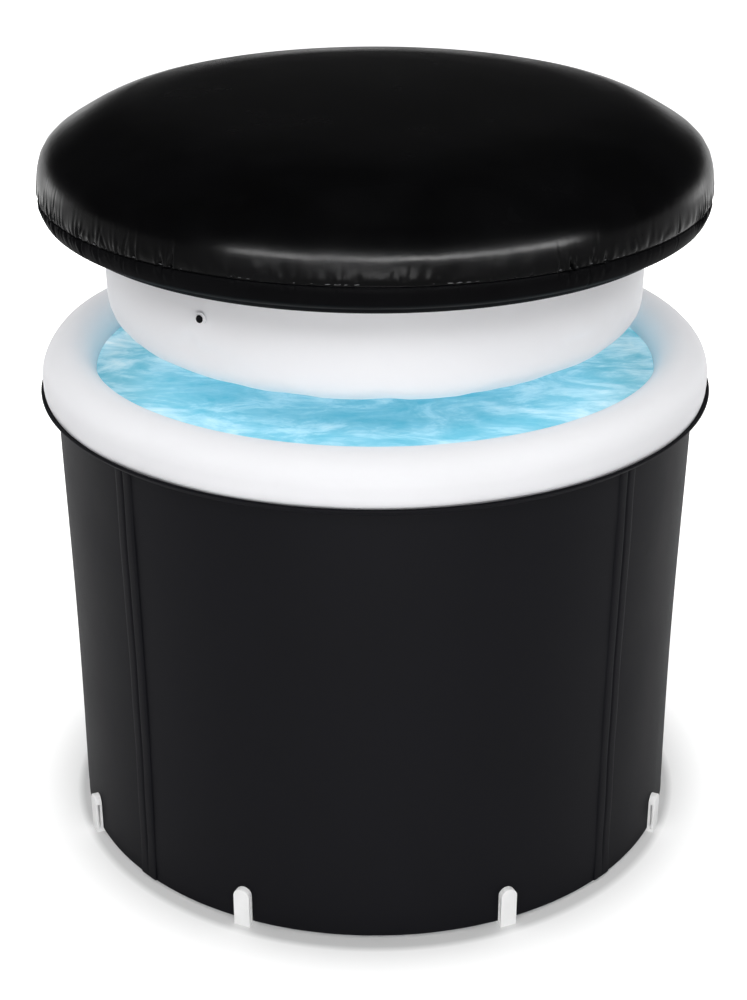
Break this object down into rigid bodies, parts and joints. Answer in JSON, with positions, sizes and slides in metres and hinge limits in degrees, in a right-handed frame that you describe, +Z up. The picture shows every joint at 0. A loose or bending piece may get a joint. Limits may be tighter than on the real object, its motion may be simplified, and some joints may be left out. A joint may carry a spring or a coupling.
{
  "type": "cold plunge tub",
  "caption": "Round portable cold plunge tub: padded wall on rods with clip feet, air ring round the mouth, air cushion and padded lid lifted above it, drain at the back.",
  "frame": {"origin": "on the floor, at the middle of the tub, level with the soles of the feet", "axes": "+Z up along the tub's axis, -Y to the front, +X to the right seen from the front"},
  "size_m": [0.9514, 0.9514, 1.0634],
  "materials": {
    "shell_cloth": "matte",
    "lid_leather": "satin",
    "white_vinyl": "satin",
    "foot_plastic": "satin",
    "rod_plastic": "satin",
    "foam": "matte",
    "black_plastic": "satin",
    "black_rubber": "matte"
  },
  "bodies": {
    "tub": {"shell_panel_1": "shell_cloth", "shell_panel_2": "shell_cloth", "shell_panel_3": "shell_cloth", "shell_panel_4": "shell_cloth", "seam_strip_1": "shell_cloth", "seam_strip_2": "shell_cloth", "seam_strip_3": "shell_cloth", "seam_strip_4": "shell_cloth", "foam_panel_1": "foam", "foam_panel_2": "foam", "foam_panel_3": "foam", "foam_panel_4": "foam", "foam_panel_5": "foam", "foam_panel_6": "foam", "foam_panel_7": "foam", "foam_panel_8": "foam", "support_rod_1": "rod_plastic", "support_rod_2": "rod_plastic", "support_rod_3": "rod_plastic", "support_rod_4": "rod_plastic", "support_rod_5": "rod_plastic", "support_rod_6": "rod_plastic", "support_rod_7": "rod_plastic", "support_rod_8": "rod_plastic", "foot_1": "foot_plastic", "foot_2": "foot_plastic", "foot_3": "foot_plastic", "foot_4": "foot_plastic", "foot_5": "foot_plastic", "foot_6": "foot_plastic", "foot_7": "foot_plastic", "foot_8": "foot_plastic", "base_sheet": "shell_cloth", "floor_foam": "foam", "inner_liner": "white_vinyl", "top_ring": "white_vinyl", "ring_valve_body": "foot_plastic", "rim_collar": "shell_cloth", "rim_piping": "shell_cloth", "drain_body": "black_plastic", "drain_gasket": "black_rubber", "drain_nut": "black_plastic"},
    "cushion": {"air_cushion": "white_vinyl", "cushion_valve_body": "foot_plastic"},
    "lid": {"lid_top_cover": "lid_leather", "lid_side_band": "lid_leather", "lid_bottom_panel": "shell_cloth", "lid_seam_welt": "lid_leather", "lid_core": "foam"},
    "ring_stopper": {"ring_valve_stopper": "black_plastic"},
    "cushion_stopper": {"cushion_valve_stopper": "black_plastic"},
    "drain_cap": {"drain_cap": "black_plastic"}
  },
  "joints": [
    {"name": "cushion_lift", "type": "slide", "parent": "tub", "child": "cushion", "axis": [0, 0, 1], "range_m": [-0.172, 0.3]},
    {"name": "lid_lift", "type": "slide", "parent": "cushion", "child": "lid", "axis": [0, 0, 1], "range_m": [0, 0.25]},
    {"name": "ring_stopper_pull", "type": "slide", "parent": "tub", "child": "ring_stopper", "axis": [0, 1, 0], "range_m": [0, 0.016]},
    {"name": "cushion_stopper_pull", "type": "slide", "parent": "cushion", "child": "cushion_stopper", "axis": [-0.5736, -0.8192, 0], "range_m": [0, 0.014]},
    {"name": "drain_cap_turn", "type": "hinge", "parent": "tub", "child": "drain_cap", "pos_m": [0, 0.46, 0.07], "axis": [0, 1, 0], "range_deg": [0, 540]}
  ]
}
